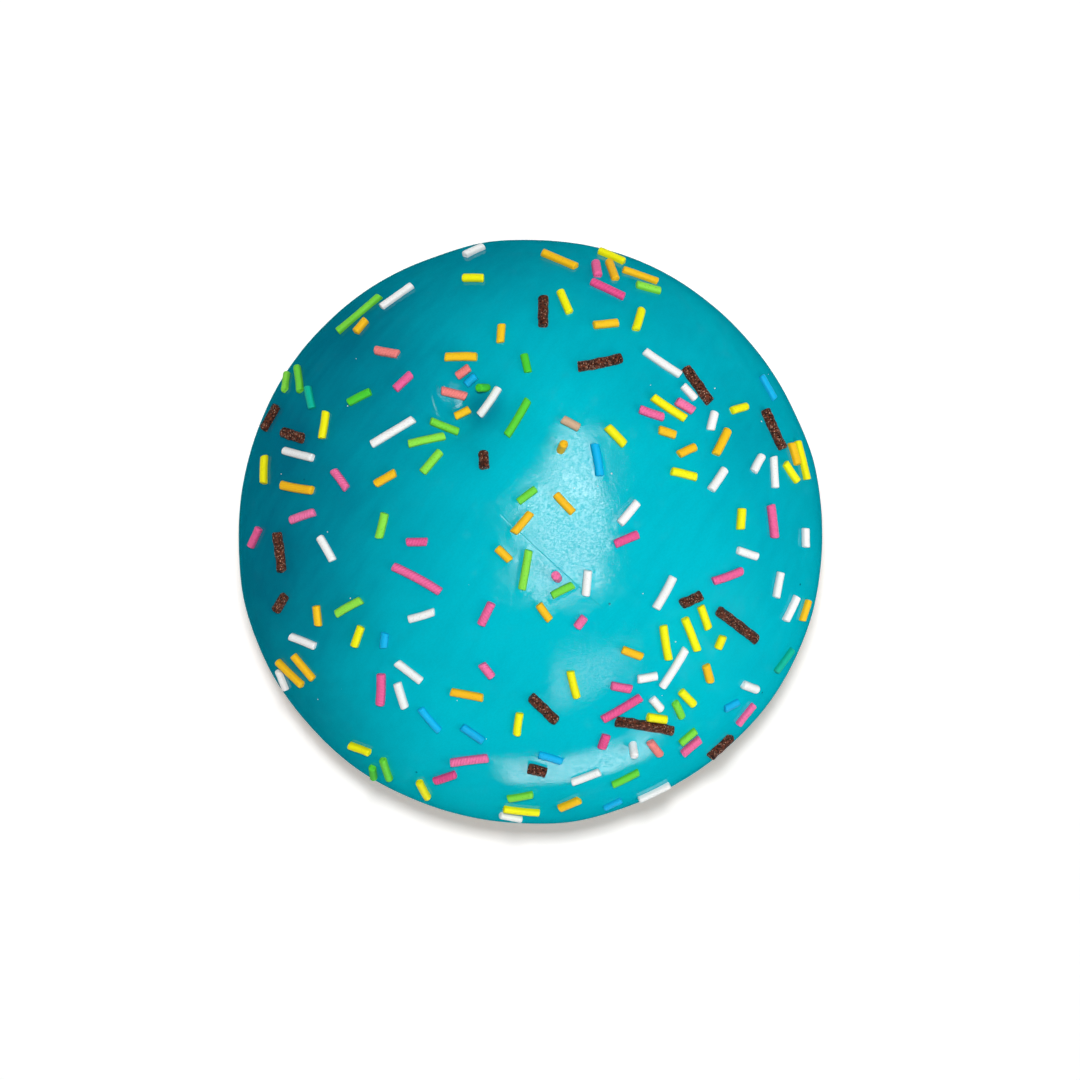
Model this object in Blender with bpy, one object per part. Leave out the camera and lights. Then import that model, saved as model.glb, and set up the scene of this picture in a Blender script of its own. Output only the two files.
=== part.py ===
"""A filled doughnut: a fried bun in a coat of turquoise icing, with sugar strands stuck to the coat.

Run it with: blender --background --python part.py
Metres, +Z up. The origin is the middle of the flat spot that the bun rests on.
A place on the doughnut is given by its turn, the bearing from +X seen from above, and its polar,
the angle from straight up, both seen from the middle of the widest ring.
"""

import math
import random
from collections import namedtuple

import bmesh
import bpy
from mathutils import Matrix, Vector

MM = 0.001
DEG = math.radians(1.0)

# Driving sizes
ACROSS = 85.0 * MM
TALL = 41.0 * MM
WIDEST_AT = 19.0 * MM
REST_RADIUS = 20.0 * MM
SQUARENESS = 2.3
ICING_THICK = 1.9 * MM
ICING_GAP = 0.52 * MM

# The bun under the icing
BUN_RADIUS = ACROSS / 2 - ICING_THICK
BUN_RISE = TALL - WIDEST_AT - ICING_THICK
BUN_DROP = WIDEST_AT / (1 - (REST_RADIUS / BUN_RADIUS) ** SQUARENESS) ** (1 / SQUARENESS)
MIDDLE = Vector((0.0, 0.0, WIDEST_AT))
REST_POLAR = math.pi - math.atan2(REST_RADIUS, WIDEST_AT)

# Unevenness of the bun: waves round it, share of its radius, bearing of a crest in degrees
SWELLS = ((2, 0.0016, 25.0), (3, 0.0022, 80.0), (5, 0.0014, 140.0))
# Hollows in its top, swells where the depth is below 0: x, y, radius and depth in millimetres
HOLLOWS = (
    (-8.2, 18.0, 6.2, 2.10),
    (-11.0, 17.0, 2.3, 0.50),
    (-10.0, 14.6, 2.6, 0.55),
    (16.0, -27.0, 9.0, 0.45),
    (-24.0, -14.0, 12.0, 0.40),
    (25.0, 9.0, 10.0, 0.30),
    (3.0, -6.0, 12.0, -0.35),
)
# The crease where the pale band round the side meets the browned underside
CREASE_POLAR = 109.0 * DEG
CREASE_WIDTH = 3.0 * DEG
CREASE_DEPTH = 0.35 * MM

# The icing's lower edge: its mean polar, the width of its rounded lip, and its drips,
# as bearing, further reach down and half width in degrees
EDGE_POLAR = 96.5 * DEG
LIP_POLAR = 3.4 * DEG
LIP_SWELL = 0.12
DRIPS = (
    (14.0, 6.0, 7.0),
    (58.0, 3.5, 9.0),
    (99.0, 7.5, 6.5),
    (148.0, 4.5, 10.0),
    (193.0, 8.0, 7.0),
    (236.0, 4.0, 9.0),
    (279.0, 6.5, 7.0),
    (324.0, 3.5, 10.0),
)

# Facets
TURN_STEPS = 60
BUN_STEPS = 22
ICING_STEPS = 36
OUTER_STEPS = 16
LIP_STEPS = 3

# Sugar strands: radius in millimetres and number of each kind
Kind = namedtuple("Kind", "radius count")
KINDS = {
    "white": Kind(0.61, 32),
    "yellow": Kind(0.62, 25),
    "orange": Kind(0.62, 27),
    "pink": Kind(0.64, 25),
    "coral": Kind(0.64, 4),
    "green": Kind(0.60, 22),
    "teal": Kind(0.59, 2),
    "chocolate": Kind(0.75, 15),
    "toffee": Kind(0.65, 1),
    "blue": Kind(0.61, 9),
}
# The long strands that catch the eye: kind, x and y in millimetres, bearing in degrees, length in millimetres
LONG_STRANDS = (
    ("chocolate", -33.7, 13.8, -19.0, 4.2),
    ("chocolate", -35.6, -2.8, -80.0, 5.7),
    ("chocolate", 9.9, 24.0, 15.0, 6.5),
    ("chocolate", 23.8, 20.9, -56.0, 6.1),
    ("chocolate", 34.8, 14.7, -65.0, 6.2),
    ("chocolate", 2.0, -24.9, -47.0, 5.3),
    ("chocolate", 16.3, -27.5, -18.0, 8.8),
    ("chocolate", 29.5, -13.2, -34.0, 8.0),
    ("chocolate", 27.3, -30.7, 62.0, 4.4),
    ("green", -24.5, 31.3, 45.0, 8.0),
    ("green", -1.7, 16.1, 61.0, 6.0),
    ("green", -14.6, 13.0, 13.0, 5.3),
    ("green", -0.6, -5.3, 80.0, 5.7),
    ("pink", -15.9, -6.6, -27.0, 7.7),
    ("pink", 13.0, -24.9, 31.0, 6.4),
    ("pink", -8.6, -32.4, 15.0, 5.6),
    ("white", -19.4, 14.2, 30.0, 7.1),
    ("white", 18.8, 24.0, -32.0, 6.2),
    ("white", 20.4, -19.2, 61.0, 6.5),
    ("yellow", 19.7, 17.6, -31.0, 5.7),
    ("yellow", 39.0, 10.3, -82.0, 5.7),
    ("orange", 4.2, 39.0, -45.0, 5.7),
)
# Those that stuck in with one end: kind, x and y in millimetres, the bearing of their lean in degrees
STANDING_STRANDS = (
    ("green", -6.1, 20.5, 200.0),
    ("orange", 4.4, 11.6, 60.0),
    ("pink", 3.9, -6.5, 120.0),
    ("white", 14.7, -30.3, 250.0),
)
# Where strands fell close together: x, y and spread in millimetres, and their kinds
HEAPS = (
    (-8.7, 19.0, 3.4, "coral orange white coral orange green blue"),
    (13.0, 36.5, 4.2, "orange pink yellow pink orange green orange"),
    (21.5, 18.5, 3.4, "white pink orange pink white"),
    (37.0, 10.0, 3.2, "yellow white orange white"),
    (25.0, -14.5, 3.8, "yellow yellow yellow orange chocolate yellow"),
    (19.0, -25.5, 4.4, "green green yellow white pink coral white yellow blue pink"),
    (4.7, -6.6, 2.5, "green white"),
    (-2.0, -38.5, 3.0, "yellow white green"),
    (-21.5, -33.5, 3.0, "green green yellow"),
    (-34.0, 22.5, 3.0, "green green teal"),
    (-34.5, -20.5, 3.0, "orange orange white"),
)
# Where no loose strand fell: x, y and radius in millimetres
BARE_PATCHES = (
    (-27.0, -27.0, 7.0),
    (24.0, 1.0, 5.0),
    (29.5, 23.7, 5.0),
    (22.0, 29.5, 5.0),
    (-15.0, 29.0, 5.0),
    (-1.5, -17.0, 5.0),
    (12.0, -8.0, 4.0),
    (-25.0, -1.0, 4.0),
)
SCATTER_SEED = 11
SCATTER_REACH = 0.975 * ACROSS / 2
SHORTEST = 1.9
USUAL = 3.6
LONGEST = 5.8
SIZE_SPREAD = 0.06
LOOSE_SPACE = 0.8 * MM
HEAP_SPACE = 0.06 * MM
SUNK_SHARE = 0.28
PILED_SUNK = 0.40
COATED_SHARE = 0.42
STANDING_PITCH = 72.0 * DEG
STANDING_LENGTH = 3.4 * MM
STANDING_SUNK = 1.1 * MM
LEAST_PILED = 3.4
TRIES = 400
STRAND_SIDES = 6

Strand = namedtuple("Strand", "kind foot head radius normal")


def clear_scene():
    for item in list(bpy.data.objects):
        bpy.data.objects.remove(item, do_unlink=True)


def direction(turn, polar):
    return Vector((
        math.sin(polar) * math.cos(turn),
        math.sin(polar) * math.sin(turn),
        math.cos(polar),
    ))


def plain_reach(polar):
    """Distance from the middle to the bun's even outline, a superellipse."""
    rise = BUN_RISE if polar < math.pi / 2 else BUN_DROP
    across = abs(math.sin(polar)) / BUN_RADIUS
    upward = abs(math.cos(polar)) / rise
    return (across**SQUARENESS + upward**SQUARENESS) ** (-1 / SQUARENESS)


def bump_of(distance, width):
    return math.exp(-((distance / width) ** 2))


def bun_reach(turn, polar):
    """Distance from the middle to the bun's surface, with its swells, hollows and crease."""
    plain = plain_reach(polar)
    across = plain * math.sin(polar)
    x = across * math.cos(turn)
    y = across * math.sin(turn)
    swell = sum(share * math.cos(waves * (turn - crest * DEG)) for waves, share, crest in SWELLS)
    below = max(0.0, polar - math.pi / 2) / (REST_POLAR - math.pi / 2)
    calm = max(0.0, 1 - below**2)
    sink = CREASE_DEPTH * calm * bump_of(polar - CREASE_POLAR, CREASE_WIDTH)
    if polar < math.pi / 2:
        for hollow_x, hollow_y, radius, depth in HOLLOWS:
            away = math.hypot(x - hollow_x * MM, y - hollow_y * MM)
            sink += depth * MM * bump_of(away, radius * MM)
    return plain * (1 + swell * calm * math.sin(polar) ** 2) - sink


def drip_at(turn):
    """How far the drips bring the icing's edge down at a bearing, as an angle."""
    total = 0.0
    for bearing, further, width in DRIPS:
        apart = math.remainder(turn - bearing * DEG, 2 * math.pi)
        total += further * DEG * bump_of(apart, width * DEG)
    return total


def edge_polar(turn):
    """Polar of the icing's lower edge at a bearing."""
    wander = 1.1 * math.cos(2 * turn + 0.6) + 0.8 * math.cos(5 * turn - 1.3)
    return EDGE_POLAR + wander * DEG + drip_at(turn)


def icing_depth(turn, polar):
    """Thickness of the icing, fullest in the drips."""
    low = math.sin(polar) ** 4
    wave = 0.06 * math.cos(3 * turn + 1.0) + LIP_SWELL * (1 + drip_at(turn) / (8 * DEG))
    return ICING_THICK * (1 + low * wave) - ICING_THICK * LIP_SWELL * low


def icing_reach(turn, polar):
    """Distance from the middle to the icing's outer surface."""
    return bun_reach(turn, polar) + icing_depth(turn, polar)


def bun_point(turn, share):
    """A point of the bun, share running from 0 at the top to 1 at the middle of its flat spot."""
    rest_share = 1 - 1 / BUN_STEPS
    if share > rest_share + 1e-6:
        return Vector((0.0, 0.0, 0.0))
    polar = REST_POLAR * share / rest_share
    if share > rest_share - 1e-6:
        return Vector((REST_RADIUS * math.cos(turn), REST_RADIUS * math.sin(turn), 0.0))
    return MIDDLE + direction(turn, polar) * bun_reach(turn, polar)


def icing_point(turn, share):
    """A point of the icing, share running down its outside, round its lip and back up its inside."""
    step = share * ICING_STEPS
    edge = edge_polar(turn)
    lip_starts = edge - LIP_POLAR
    lip_ends = OUTER_STEPS + LIP_STEPS
    if step <= OUTER_STEPS:
        polar = lip_starts * step / OUTER_STEPS
        reach = icing_reach(turn, polar)
    elif step <= lip_ends:
        quarter = math.pi / 2 * (step - OUTER_STEPS) / LIP_STEPS
        polar = lip_starts + LIP_POLAR * math.sin(quarter)
        over = ICING_GAP + (icing_depth(turn, polar) - ICING_GAP) * math.cos(quarter)
        reach = bun_reach(turn, polar) + over
    else:
        polar = edge * (ICING_STEPS - step) / (ICING_STEPS - lip_ends)
        reach = bun_reach(turn, polar) + ICING_GAP
    return MIDDLE + direction(turn, polar) * reach


def new_object(name, mesh_data, color, roughness):
    """Makes an object of a bmesh, with a material of its own."""
    mesh = bpy.data.meshes.new(name)
    mesh_data.to_mesh(mesh)
    mesh_data.free()
    made = bpy.data.objects.new(name, mesh)
    bpy.context.scene.collection.objects.link(made)
    material = bpy.data.materials.new(name)
    material.use_nodes = True
    shader = material.node_tree.nodes["Principled BSDF"]
    shader.inputs["Base Color"].default_value = (*color, 1.0)
    shader.inputs["Roughness"].default_value = roughness
    shader.inputs["Metallic"].default_value = 0.0
    mesh.materials.append(material)
    return made


def wrapped_sphere(steps, point_at):
    """A UV sphere whose points are moved to point_at(turn, share), share being 0 at its top and 1 below."""
    ball = bmesh.new()
    bmesh.ops.create_uvsphere(ball, u_segments=TURN_STEPS, v_segments=steps, radius=1.0)
    for vert in ball.verts:
        share = round(steps * vert.co.normalized().angle(Vector((0, 0, 1))) / math.pi) / steps
        turn = math.atan2(vert.co.y, vert.co.x) if 0 < share < 1 else 0.0
        vert.co = point_at(turn, share)
    bmesh.ops.recalc_face_normals(ball, faces=ball.faces)
    return ball


def over_icing(point):
    """How far a point is outside the icing's surface, seen from the middle. It is below 0 inside."""
    out = point - MIDDLE
    polar = math.acos(max(-1.0, min(1.0, out.z / out.length)))
    return out.length - icing_reach(math.atan2(out.y, out.x), polar)


def icing_normal(point):
    step = 0.3 * MM
    slope = Vector()
    for axis in range(3):
        aside = Vector()
        aside[axis] = step
        slope[axis] = over_icing(point + aside) - over_icing(point - aside)
    return slope.normalized()


def icing_above(x, y):
    """The point of the icing above a place in plan."""
    low, high = WIDEST_AT, TALL + 2 * MM
    for _ in range(30):
        height = (low + high) / 2
        if over_icing(Vector((x, y, height))) > 0:
            high = height
        else:
            low = height
    return Vector((x, y, low))


def dropped(point, normal):
    """The point moved along the normal onto the icing."""
    return point - normal * over_icing(point)


def lying_strand(kind, x, y, bearing, length, radius, sunk):
    """A strand that lies on the icing, its middle over x and y, sunk by a share of its thickness."""
    middle = icing_above(x, y)
    normal = icing_normal(middle)
    along = Vector((math.cos(bearing), math.sin(bearing), 0.0))
    along = (along - normal * along.dot(normal)).normalized() * (length / 2)
    foot = dropped(middle - along, normal)
    head = dropped(middle + along, normal)
    sag = max(0.0, (middle - (foot + head) / 2).dot(normal))
    rise = normal * (radius * (1 - 2 * sunk) + 0.6 * sag)
    return Strand(kind, foot + rise, head + rise, radius, normal)


def standing_strand(kind, x, y, bearing, radius):
    """A strand that stuck into the icing with one end."""
    middle = icing_above(x, y)
    normal = icing_normal(middle)
    along = Vector((math.cos(bearing), math.sin(bearing), 0.0))
    along = (along - normal * along.dot(normal)).normalized()
    lean = along * math.cos(STANDING_PITCH) + normal * math.sin(STANDING_PITCH)
    foot = middle - lean * STANDING_SUNK
    return Strand(kind, foot, foot + lean * STANDING_LENGTH, radius, normal)


def nearest_shares(first, second):
    """Where two strands are nearest each other, as shares of their lengths."""
    a = first.head - first.foot
    b = second.head - second.foot
    gap = first.foot - second.foot
    aa, bb, ab = a.dot(a), b.dot(b), a.dot(b)
    a_gap, b_gap = a.dot(gap), b.dot(gap)
    spread = aa * bb - ab * ab
    s = 0.5 if spread < 1e-18 else max(0.0, min(1.0, (ab * b_gap - bb * a_gap) / spread))
    t = max(0.0, min(1.0, (ab * s + b_gap) / bb))
    s = max(0.0, min(1.0, (ab * t - a_gap) / aa))
    return s, t


def space_between(first, second):
    """The free space between two strands. It is below 0 where they cross."""
    reach = (first.head - first.foot).length + (second.head - second.foot).length
    apart = ((first.head + first.foot) - (second.head + second.foot)).length / 2
    thick = first.radius + second.radius
    if apart - reach / 2 - thick > 4 * MM:
        return apart
    s, t = nearest_shares(first, second)
    on_first = first.foot.lerp(first.head, s)
    on_second = second.foot.lerp(second.head, t)
    return (on_first - on_second).length - thick


def piled_strand(strand, under):
    """The strand tipped up so that it lies across another one, or None if it wouldn't stay there."""
    s, t = nearest_shares(strand, under)
    if not 0.3 < s < 0.7 or not 0.15 < t < 0.85:
        return None
    if s > 0.5:
        low, high, reach = strand.foot, strand.head, s
    else:
        low, high, reach = strand.head, strand.foot, 1 - s
    seat = strand.radius * (1 - 2 * PILED_SUNK)
    low = dropped(low, strand.normal) + strand.normal * seat
    crossing = low.lerp(high, reach)
    below = under.foot.lerp(under.head, t)
    needed = under.radius + strand.radius + HEAP_SPACE * 2 - (crossing - below).dot(strand.normal)
    tipped = high + strand.normal * (needed / reach)
    return Strand(strand.kind, low, tipped, strand.radius, strand.normal)


def settled(strand, others, space):
    """The strand where it comes to rest among the others, or None if it has no room."""
    crossed = [other for other in others if space_between(strand, other) < space]
    if not crossed:
        return strand
    length = (strand.head - strand.foot).length
    if len(crossed) > 1 or length < LEAST_PILED * MM:
        return None
    if space_between(strand, crossed[0]) > -strand.radius:
        return None
    piled = piled_strand(strand, crossed[0])
    if piled is None or any(space_between(piled, other) < HEAP_SPACE / 2 for other in others):
        return None
    return piled


def drawn_strand(draw, kind, x, y):
    """A strand of a drawn size and bearing at a place."""
    bearing = draw.uniform(0.0, math.pi)
    length = draw.triangular(SHORTEST, LONGEST, USUAL) * MM
    radius = KINDS[kind].radius * MM * (1 + draw.uniform(-SIZE_SPREAD, SIZE_SPREAD))
    sunk = COATED_SHARE if kind == "blue" else SUNK_SHARE
    return lying_strand(kind, x, y, bearing, length, radius, sunk)


def heap_place(draw, heap):
    return (
        draw.gauss(heap[0], heap[2] / 2) * MM,
        draw.gauss(heap[1], heap[2] / 2) * MM,
    )


def loose_place(draw):
    """A place in plan, anywhere but in a bare patch."""
    while True:
        x = draw.uniform(-1, 1) * SCATTER_REACH
        y = draw.uniform(-1, 1) * SCATTER_REACH
        if math.hypot(x, y) > SCATTER_REACH:
            continue
        if all(math.hypot(x - px * MM, y - py * MM) > size * MM for px, py, size in BARE_PATCHES):
            return x, y


def scattered_strands():
    """All the strands: the long and the standing ones in their places, then the heaps, then the loose ones."""
    draw = random.Random(SCATTER_SEED)
    left = {kind: KINDS[kind].count for kind in KINDS}
    strands = []
    for kind, x, y, bearing, length in LONG_STRANDS:
        radius = KINDS[kind].radius * MM
        laid = lying_strand(kind, x * MM, y * MM, bearing * DEG, length * MM, radius, SUNK_SHARE)
        strands.append(laid)
        left[kind] -= 1
    for kind, x, y, bearing in STANDING_STRANDS:
        radius = KINDS[kind].radius * MM
        strands.append(standing_strand(kind, x * MM, y * MM, bearing * DEG, radius))
        left[kind] -= 1
    for heap in HEAPS:
        for kind in heap[3].split():
            for _ in range(TRIES):
                x, y = heap_place(draw, heap)
                if math.hypot(x, y) > SCATTER_REACH:
                    continue
                laid = settled(drawn_strand(draw, kind, x, y), strands, HEAP_SPACE)
                if laid:
                    strands.append(laid)
                    left[kind] -= 1
                    break
    loose = [kind for kind in left for _ in range(max(0, left[kind]))]
    draw.shuffle(loose)
    for kind in loose:
        for _ in range(TRIES):
            laid = settled(drawn_strand(draw, kind, *loose_place(draw)), strands, LOOSE_SPACE)
            if laid:
                strands.append(laid)
                break
    return strands


def strand_object(strand, collection):
    """A plain six-sided rod for one strand."""
    axis = strand.head - strand.foot
    side = strand.normal.cross(axis).normalized()
    turned = Matrix((side, axis.normalized().cross(side), axis.normalized())).transposed()
    rod = bmesh.new()
    bmesh.ops.create_cone(
        rod,
        cap_ends=True,
        segments=STRAND_SIDES,
        radius1=strand.radius,
        radius2=strand.radius,
        depth=axis.length,
        matrix=Matrix.Translation((strand.foot + strand.head) / 2) @ turned.to_4x4(),
    )
    mesh = bpy.data.meshes.new("strand")
    rod.to_mesh(mesh)
    rod.free()
    collection.objects.link(bpy.data.objects.new("strand", mesh))


def fuse(carrier, strands):
    """Joins the strands to what carries them, and removes their own objects."""
    loose = bpy.data.collections.new("strands")
    bpy.context.scene.collection.children.link(loose)
    for strand in strands:
        strand_object(strand, loose)
    join = carrier.modifiers.new("strands", "BOOLEAN")
    join.operation = "UNION"
    join.operand_type = "COLLECTION"
    join.collection = loose
    join.solver = "MANIFOLD"
    bpy.context.view_layer.objects.active = carrier
    bpy.ops.object.modifier_apply(modifier=join.name)
    for rod in list(loose.objects):
        bpy.data.objects.remove(rod, do_unlink=True)
    bpy.data.collections.remove(loose)


def make_bun():
    bun = wrapped_sphere(BUN_STEPS, bun_point)
    return new_object("bun", bun, (0.56, 0.27, 0.085), 0.62)


def make_icing():
    coat = wrapped_sphere(ICING_STEPS, icing_point)
    icing = new_object("icing", coat, (0.0, 0.44, 0.55), 0.28)
    fuse(icing, scattered_strands())
    return icing


def main():
    clear_scene()
    make_bun()
    make_icing()


main()
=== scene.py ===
"""Looks of the filled doughnut: the fried bun, its turquoise icing and the mixed sugar strands.

Metres, +Z up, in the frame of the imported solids. The origin is the middle of the spot that the bun rests on.
A place on the doughnut is given by its turn, the bearing from +X seen from above, and its polar,
the angle from straight up, both seen from the middle of the widest ring.
"""

import math
import random
from collections import Counter, namedtuple
from functools import partial

import bmesh
import bpy
from bpy.props import FloatProperty, FloatVectorProperty, PointerProperty
from mathutils import Matrix, Vector, kdtree, noise


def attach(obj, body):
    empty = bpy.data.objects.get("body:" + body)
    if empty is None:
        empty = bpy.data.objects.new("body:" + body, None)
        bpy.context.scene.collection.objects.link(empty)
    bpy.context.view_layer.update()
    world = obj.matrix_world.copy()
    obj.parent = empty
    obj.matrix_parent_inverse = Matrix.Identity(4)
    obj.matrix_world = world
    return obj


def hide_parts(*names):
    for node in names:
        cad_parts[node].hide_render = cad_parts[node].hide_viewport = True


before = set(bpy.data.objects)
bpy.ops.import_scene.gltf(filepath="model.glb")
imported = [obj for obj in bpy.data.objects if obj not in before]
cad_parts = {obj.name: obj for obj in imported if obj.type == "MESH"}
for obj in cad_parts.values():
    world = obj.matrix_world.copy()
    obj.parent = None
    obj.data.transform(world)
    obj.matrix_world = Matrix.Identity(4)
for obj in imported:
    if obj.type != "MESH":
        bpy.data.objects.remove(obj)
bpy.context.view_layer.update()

bl_info = {
    "name": "Filled doughnut with sugar strands",
    "version": (1, 0, 0),
    "blender": (4, 5, 0),
    "location": "View3D > Sidebar > Doughnut",
    "description": "Models the bun, the icing, the sugar strands and the studio round them",
    "category": "Object",
}

MM = 0.001
DEG = math.radians(1.0)

# Driving sizes, those of the solids
ACROSS = 85.0 * MM
TALL = 41.0 * MM
WIDEST_AT = 19.0 * MM
REST_RADIUS = 20.0 * MM
SQUARENESS = 2.3
ICING_THICK = 1.9 * MM

# The bun under the icing
BUN_RADIUS = ACROSS / 2 - ICING_THICK
BUN_RISE = TALL - WIDEST_AT - ICING_THICK
BUN_DROP = WIDEST_AT / (1 - (REST_RADIUS / BUN_RADIUS) ** SQUARENESS) ** (1 / SQUARENESS)
MIDDLE = Vector((0.0, 0.0, WIDEST_AT))
REST_POLAR = math.pi - math.atan2(REST_RADIUS, WIDEST_AT)

# Unevenness of the bun: waves round it, share of its radius, bearing of a crest in degrees
SWELLS = ((2, 0.0016, 25.0), (3, 0.0022, 80.0), (5, 0.0014, 140.0))
# Hollows in its top, swells where the depth is below 0: x, y, radius and depth in millimetres
HOLLOWS = (
    (-8.2, 18.0, 6.2, 2.10),
    (-11.0, 17.0, 2.3, 0.50),
    (-10.0, 14.6, 2.6, 0.55),
    (16.0, -27.0, 9.0, 0.45),
    (-24.0, -14.0, 12.0, 0.40),
    (25.0, 9.0, 10.0, 0.30),
    (3.0, -6.0, 12.0, -0.35),
)
# The crease where the pale band round the side meets the browned underside
CREASE_POLAR = 109.0 * DEG
CREASE_WIDTH = 3.0 * DEG
CREASE_DEPTH = 0.35 * MM

# The icing's lower edge: its mean polar, the width of its rounded lip, and its drips,
# as bearing, further reach down and half width in degrees
EDGE_POLAR = 96.5 * DEG
LIP_POLAR = 3.4 * DEG
LIP_SWELL = 0.12
DRIPS = (
    (14.0, 6.0, 7.0),
    (58.0, 3.5, 9.0),
    (99.0, 7.5, 6.5),
    (148.0, 4.5, 10.0),
    (193.0, 8.0, 7.0),
    (236.0, 4.0, 9.0),
    (279.0, 6.5, 7.0),
    (324.0, 3.5, 10.0),
)

# Sugar strands: radius in millimetres and number of each kind
Kind = namedtuple("Kind", "radius count")
KINDS = {
    "white": Kind(0.61, 32),
    "yellow": Kind(0.62, 25),
    "orange": Kind(0.62, 27),
    "pink": Kind(0.64, 25),
    "coral": Kind(0.64, 4),
    "green": Kind(0.60, 22),
    "teal": Kind(0.59, 2),
    "chocolate": Kind(0.75, 15),
    "toffee": Kind(0.65, 1),
    "blue": Kind(0.61, 9),
}
# The long strands that catch the eye: kind, x, y, bearing and length, in millimetres and degrees
LONG_STRANDS = (
    ("chocolate", -33.7, 13.8, -19.0, 4.2),
    ("chocolate", -35.6, -2.8, -80.0, 5.7),
    ("chocolate", 9.9, 24.0, 15.0, 6.5),
    ("chocolate", 23.8, 20.9, -56.0, 6.1),
    ("chocolate", 34.8, 14.7, -65.0, 6.2),
    ("chocolate", 2.0, -24.9, -47.0, 5.3),
    ("chocolate", 16.3, -27.5, -18.0, 8.8),
    ("chocolate", 29.5, -13.2, -34.0, 8.0),
    ("chocolate", 27.3, -30.7, 62.0, 4.4),
    ("green", -24.5, 31.3, 45.0, 8.0),
    ("green", -1.7, 16.1, 61.0, 6.0),
    ("green", -14.6, 13.0, 13.0, 5.3),
    ("green", -0.6, -5.3, 80.0, 5.7),
    ("pink", -15.9, -6.6, -27.0, 7.7),
    ("pink", 13.0, -24.9, 31.0, 6.4),
    ("pink", -8.6, -32.4, 15.0, 5.6),
    ("white", -19.4, 14.2, 30.0, 7.1),
    ("white", 18.8, 24.0, -32.0, 6.2),
    ("white", 20.4, -19.2, 61.0, 6.5),
    ("yellow", 19.7, 17.6, -31.0, 5.7),
    ("yellow", 39.0, 10.3, -82.0, 5.7),
    ("orange", 4.2, 39.0, -45.0, 5.7),
)
# Those that stuck in with one end: kind, x and y in millimetres, bearing of the lean in degrees
STANDING_STRANDS = (
    ("green", -6.1, 20.5, 200.0),
    ("orange", 4.4, 11.6, 60.0),
    ("pink", 3.9, -6.5, 120.0),
    ("white", 14.7, -30.3, 250.0),
)
# Where strands fell close together: x, y and spread in millimetres, and their kinds
HEAPS = (
    (-8.7, 19.0, 3.4, "coral orange white coral orange green blue"),
    (13.0, 36.5, 4.2, "orange pink yellow pink orange green orange"),
    (21.5, 18.5, 3.4, "white pink orange pink white"),
    (37.0, 10.0, 3.2, "yellow white orange white"),
    (25.0, -14.5, 3.8, "yellow yellow yellow orange chocolate yellow"),
    (19.0, -25.5, 4.4, "green green yellow white pink coral white yellow blue pink"),
    (4.7, -6.6, 2.5, "green white"),
    (-2.0, -38.5, 3.0, "yellow white green"),
    (-21.5, -33.5, 3.0, "green green yellow"),
    (-34.0, 22.5, 3.0, "green green teal"),
    (-34.5, -20.5, 3.0, "orange orange white"),
)
# Where no loose strand fell: x, y and radius in millimetres
BARE_PATCHES = (
    (-27.0, -27.0, 7.0),
    (24.0, 1.0, 5.0),
    (29.5, 23.7, 5.0),
    (22.0, 29.5, 5.0),
    (-15.0, 29.0, 5.0),
    (-1.5, -17.0, 5.0),
    (12.0, -8.0, 4.0),
    (-25.0, -1.0, 4.0),
)
SCATTER_SEED = 11
SCATTER_REACH = 0.975 * ACROSS / 2
# Lengths of the drawn strands in millimetres, and the spread of their thickness as a share of it
SHORTEST = 1.9
USUAL = 3.6
LONGEST = 5.8
SIZE_SPREAD = 0.06
# Free space between strands, and how deep they sink, as a share of their thickness
LOOSE_SPACE = 0.8 * MM
HEAP_SPACE = 0.06 * MM
SUNK_SHARE = 0.28
PILED_SUNK = 0.40
COATED_SHARE = 0.42
# Strands that stand on end, and the shortest one, in millimetres, that can lie across another
STANDING_PITCH = 72.0 * DEG
STANDING_LENGTH = 3.4 * MM
STANDING_SUNK = 1.1 * MM
LEAST_PILED = 3.4
TRIES = 400

# Meshes of the looks: cells along an edge of the starting cube, cut in two goes
BUN_CELLS = (24, 4)
ICING_CELLS = (32, 4)
# Polars on the icing's starting ball where its outside ends, and where its lip does
OUTER_SPHERE = 138.0 * DEG
LIP_SPHERE = 154.0 * DEG
TUCKED_IN = 0.35 * MM
# The plain strand: sides and cuts of a sugar one and a chocolate one, half length and rounding in radii
SUGAR_ROD = (14, 9)
CHOCOLATE_ROD = (20, 30)
ROD_HALF = 3.0
ROD_ROUNDING = 0.30
CHOCOLATE_ROUGHNESS = 4.4
RIB_DEPTH = 0.06 * MM
RIBBED = ("pink", "coral")
# Step in millimetres between one strand and the next on their map, longer than any strand
RUN_STEP = 12.0
# Specks of sugar: their number, and their smallest, largest and usual size in millimetres
SPECKS = 30
SPECK_SEED = 31
SPECK_SIZES = (0.04, 0.16, 0.06)

# Fine relief of the icing: size and height of its waves, and its creeping up the strands
WAVES = ((15.0 * MM, 0.16 * MM), (6.0 * MM, 0.035 * MM), (2.4 * MM, 0.006 * MM))
MENISCUS_REACH = 0.30 * MM
MENISCUS_LIMIT = 2.6 * MM
SAMPLE_EVERY = 0.35 * MM
# The dent's pinched rim, a low ridge on an arc seen from above, in millimetres and degrees: the arc's middle
# and radius, the ridge's bearing and half length on it, its height and half width
RIM_MIDDLE = (2.5, 25.5)
RIM_RADIUS = 17.5
RIM_BEARING = -154.6
RIM_REACH = 3.8
RIM_HEIGHT = 0.26
RIM_WIDTH = 0.65
# The dent's sharper bottom: x, y, radius and depth in millimetres
DENT_BOTTOM = (-9.6, 18.6, 1.6, 0.52)
# Where shade is painted on the dent's wall, darkest at this spot, and where the icing's skin is dull: x and y
# in millimetres
DENT_SHADE_SPOT = (-6.2, 17.4)
DULL_PATCH = (-11.4, 20.5)
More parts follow.
